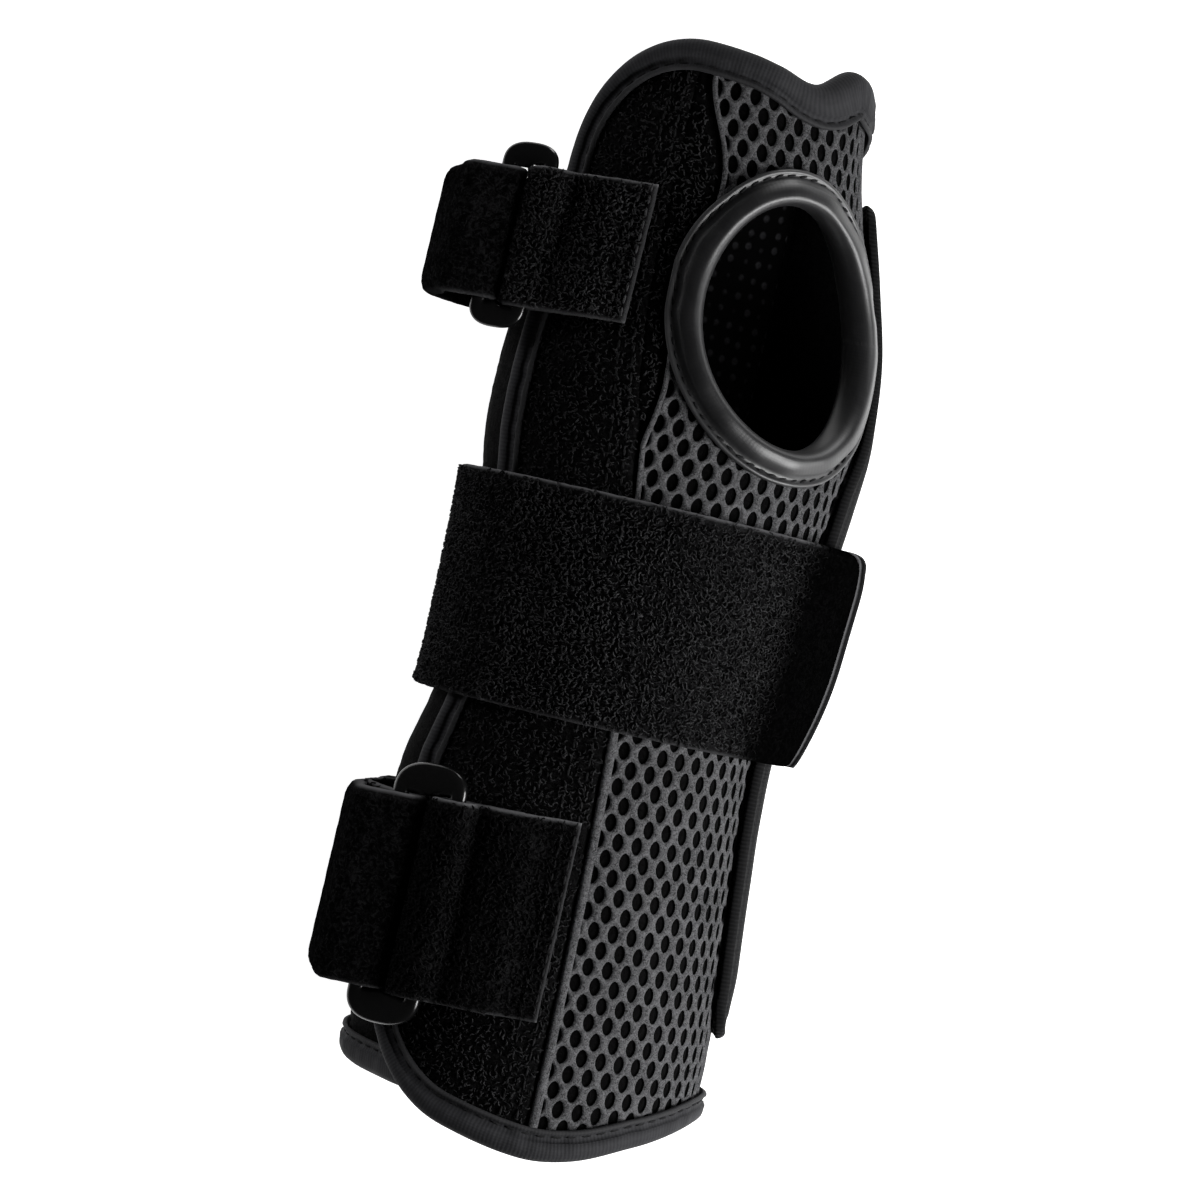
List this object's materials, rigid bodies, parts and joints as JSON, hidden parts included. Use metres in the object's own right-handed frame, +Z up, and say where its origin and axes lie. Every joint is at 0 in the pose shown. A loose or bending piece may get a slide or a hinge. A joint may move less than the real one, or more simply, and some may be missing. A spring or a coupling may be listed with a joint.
{
  "type": "wrist brace",
  "caption": "Padded wrist brace that wraps round the forearm, with a bound thumb hole, a stay pocket, ring straps at the ends and a wide strap over the wrist.",
  "frame": {"origin": "on the plane the brace lies on, at the flat underside of the wrap strap, below the middle of the sleeve", "axes": "+Y along the forearm towards the fingers, +Z up out of the thumb hole's side, +X towards the stay pocket"},
  "size_m": [0.0989, 0.2178, 0.0708],
  "materials": {
    "loop_cloth": "matt black brushed loop cloth",
    "spacer_mesh": "dark grey open spacer mesh over black backing",
    "edge_tape": "dark grey woven binding tape with a stitch row",
    "satin_tape": "satin grey padded binding",
    "pocket_cloth": "matt black plain cloth",
    "brushed_strap": "matt black fuzzy loop strap",
    "hook_patch": "black hook tape",
    "ring_plastic": "black moulded plastic, slightly glossy"
  },
  "bodies": {
    "root": {"loop_panel": "loop_cloth", "mesh_panel": "spacer_mesh", "back_panel": "loop_cloth", "edge_binding": "edge_tape", "thumb_binding": "satin_tape", "stay_pocket": "pocket_cloth", "wrap_strap": "brushed_strap", "wrap_hook": "hook_patch", "hand_tab": "brushed_strap", "hand_ring": "ring_plastic", "hand_strap": "brushed_strap", "forearm_tab": "brushed_strap", "forearm_ring": "ring_plastic", "forearm_strap": "brushed_strap"}
  },
  "joints": []
}
